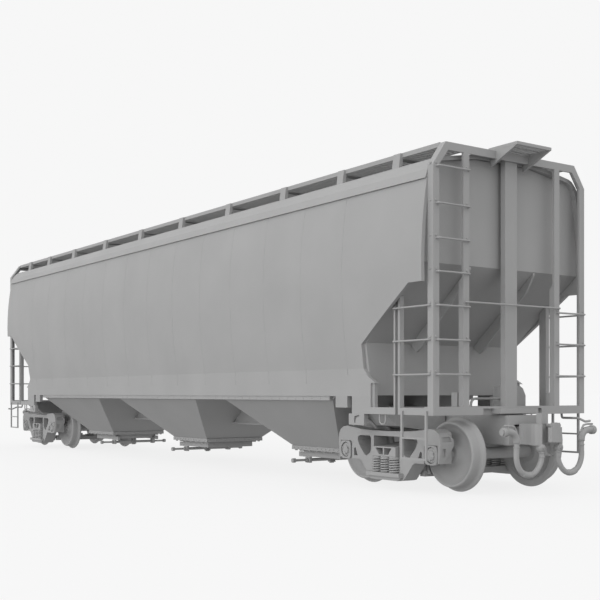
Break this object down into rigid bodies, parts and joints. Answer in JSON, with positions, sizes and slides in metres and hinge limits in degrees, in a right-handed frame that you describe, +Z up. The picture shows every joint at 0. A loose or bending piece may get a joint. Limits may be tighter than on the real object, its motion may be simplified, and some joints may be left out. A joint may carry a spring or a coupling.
{
  "type": "model hopper car",
  "caption": "HO scale covered hopper car with sloped end sheets, bottom outlet gates, roof hatches, swivelling trucks with rolling wheelsets, knuckle couplers and ladders.",
  "frame": {"origin": "centre of the car on the plane its wheel flanges stand on", "axes": "+X along the car towards end a, +Y across it, +Z up"},
  "size_m": [0.1898, 0.0344, 0.0512],
  "materials": {
    "sheet_grey": "matte grey",
    "frame_grey": "matte grey",
    "gear_grey": "matte grey",
    "truck_grey": "matte grey",
    "wheel_grey": "matte grey",
    "hose_grey": "matte grey"
  },
  "bodies": {
    "car_body": {"body_bolsters": "gear_grey", "brake_valve": "gear_grey", "bulkheads": "sheet_grey", "center_sill": "gear_grey", "corner_posts": "frame_grey", "draft_boxes": "gear_grey", "end_ladder_rungs": "frame_grey", "end_platforms": "frame_grey", "end_posts": "frame_grey", "end_sheets": "sheet_grey", "end_sills": "frame_grey", "end_slope_sheets": "sheet_grey", "hatch_coamings": "sheet_grey", "hatch_hinge_pins": "frame_grey", "hopper_sheets": "sheet_grey", "jacking_pads": "gear_grey", "kingpins": "gear_grey", "lever_brackets": "gear_grey", "outlet_frames": "gear_grey", "roof_sheets": "sheet_grey", "running_board_brackets": "frame_grey", "running_boards": "frame_grey", "side_ladders": "frame_grey", "side_sheets": "sheet_grey", "side_sills": "frame_grey", "sill_extensions": "frame_grey", "sill_steps": "frame_grey", "slope_stiffeners": "frame_grey", "top_chords": "frame_grey"},
    "truck_a": {"truck_bolster_a": "truck_grey", "side_frames_a": "truck_grey", "springs_a": "truck_grey", "bearing_adapters_a": "truck_grey", "brake_beams_a": "truck_grey"},
    "wheelset_a1": {"wheelset_a1": "wheel_grey"},
    "wheelset_a2": {"wheelset_a2": "wheel_grey"},
    "coupler_a": {"coupler_a": "gear_grey", "air_hoses_a": "hose_grey"},
    "knuckle_a": {"knuckle_a": "gear_grey"},
    "uncoupling_lever_a": {"uncoupling_lever_a": "gear_grey"},
    "truck_b": {"truck_bolster_b": "truck_grey", "side_frames_b": "truck_grey", "springs_b": "truck_grey", "bearing_adapters_b": "truck_grey", "brake_beams_b": "truck_grey"},
    "wheelset_b1": {"wheelset_b1": "wheel_grey"},
    "wheelset_b2": {"wheelset_b2": "wheel_grey"},
    "coupler_b": {"coupler_b": "gear_grey", "air_hoses_b": "hose_grey"},
    "knuckle_b": {"knuckle_b": "gear_grey"},
    "uncoupling_lever_b": {"uncoupling_lever_b": "gear_grey"},
    "hatch_cover_1": {"hatch_cover_1": "sheet_grey"},
    "gate_1": {"gate_1": "gear_grey"},
    "gate_shaft_1": {"gate_shaft_1": "gear_grey"},
    "hatch_cover_2": {"hatch_cover_2": "sheet_grey"},
    "gate_2": {"gate_2": "gear_grey"},
    "gate_shaft_2": {"gate_shaft_2": "gear_grey"},
    "hatch_cover_3": {"hatch_cover_3": "sheet_grey"},
    "gate_3": {"gate_3": "gear_grey"},
    "gate_shaft_3": {"gate_shaft_3": "gear_grey"}
  },
  "joints": [
    {"name": "truck_a_swivel", "type": "hinge", "parent": "car_body", "child": "truck_a", "pos_m": [0.07322, 0, 0.0077], "axis": [0, 0, 1], "range_deg": [-5, 5]},
    {"name": "wheelset_a1_roll", "type": "hinge", "parent": "truck_a", "child": "wheelset_a1", "pos_m": [0.08332, 0, 0.00553], "axis": [0, 1, 0], "continuous": true},
    {"name": "wheelset_a2_roll", "type": "hinge", "parent": "truck_a", "child": "wheelset_a2", "pos_m": [0.06313, 0, 0.00553], "axis": [0, 1, 0], "continuous": true},
    {"name": "coupler_a_swing", "type": "hinge", "parent": "car_body", "child": "coupler_a", "pos_m": [0.084, 0, 0.0086], "axis": [0, 0, 1], "range_deg": [-6, 6]},
    {"name": "knuckle_a_open", "type": "hinge", "parent": "coupler_a", "child": "knuckle_a", "pos_m": [0.09355, 0.0018, 0.0086], "axis": [0, 0, 1], "range_deg": [0, 40]},
    {"name": "lever_a_lift", "type": "hinge", "parent": "car_body", "child": "uncoupling_lever_a", "pos_m": [0.0847, 0.009, 0.0119], "axis": [0, -1, 0], "range_deg": [0, 10]},
    {"name": "truck_b_swivel", "type": "hinge", "parent": "car_body", "child": "truck_b", "pos_m": [-0.07322, 0, 0.0077], "axis": [0, 0, 1], "range_deg": [-5, 5]},
    {"name": "wheelset_b1_roll", "type": "hinge", "parent": "truck_b", "child": "wheelset_b1", "pos_m": [-0.08332, 0, 0.00553], "axis": [0, 1, 0], "continuous": true},
    {"name": "wheelset_b2_roll", "type": "hinge", "parent": "truck_b", "child": "wheelset_b2", "pos_m": [-0.06313, 0, 0.00553], "axis": [0, 1, 0], "continuous": true},
    {"name": "coupler_b_swing", "type": "hinge", "parent": "car_body", "child": "coupler_b", "pos_m": [-0.084, 0, 0.0086], "axis": [0, 0, 1], "range_deg": [-6, 6]},
    {"name": "knuckle_b_open", "type": "hinge", "parent": "coupler_b", "child": "knuckle_b", "pos_m": [-0.09355, -0.0018, 0.0086], "axis": [0, 0, 1], "range_deg": [0, 40]},
    {"name": "lever_b_lift", "type": "hinge", "parent": "car_body", "child": "uncoupling_lever_b", "pos_m": [-0.0847, -0.009, 0.0119], "axis": [0, 1, 0], "range_deg": [0, 10]},
    {"name": "hatch_1_open", "type": "hinge", "parent": "car_body", "child": "hatch_cover_1", "pos_m": [-0.0462, 0.00655, 0.05075], "axis": [-1, 0, 0], "range_deg": [0, 110]},
    {"name": "gate_1_slide", "type": "slide", "parent": "car_body", "child": "gate_1", "axis": [1, 0, 0], "range_m": [0, 0.0095]},
    {"name": "gate_shaft_1_turn", "type": "hinge", "parent": "car_body", "child": "gate_shaft_1", "pos_m": [-0.0418, 0, 0.00241], "axis": [0, 1, 0], "range_deg": [0, 851]},
    {"name": "hatch_2_open", "type": "hinge", "parent": "car_body", "child": "hatch_cover_2", "pos_m": [0, 0.00655, 0.05075], "axis": [-1, 0, 0], "range_deg": [0, 110]},
    {"name": "gate_2_slide", "type": "slide", "parent": "car_body", "child": "gate_2", "axis": [-1, 0, 0], "range_m": [0, 0.0095]},
    {"name": "gate_shaft_2_turn", "type": "hinge", "parent": "car_body", "child": "gate_shaft_2", "pos_m": [-0.0044, 0, 0.00241], "axis": [0, -1, 0], "range_deg": [0, 851]},
    {"name": "hatch_3_open", "type": "hinge", "parent": "car_body", "child": "hatch_cover_3", "pos_m": [0.0462, 0.00655, 0.05075], "axis": [-1, 0, 0], "range_deg": [0, 110]},
    {"name": "gate_3_slide", "type": "slide", "parent": "car_body", "child": "gate_3", "axis": [-1, 0, 0], "range_m": [0, 0.0095]},
    {"name": "gate_shaft_3_turn", "type": "hinge", "parent": "car_body", "child": "gate_shaft_3", "pos_m": [0.0418, 0, 0.00241], "axis": [0, -1, 0], "range_deg": [0, 851]}
  ],
  "couplings": [
    {"joint": "gate_shaft_1_turn", "follows": "gate_1_slide", "rad_per_m": 1562.5},
    {"joint": "gate_shaft_2_turn", "follows": "gate_2_slide", "rad_per_m": 1562.5},
    {"joint": "gate_shaft_3_turn", "follows": "gate_3_slide", "rad_per_m": 1562.5}
  ]
}
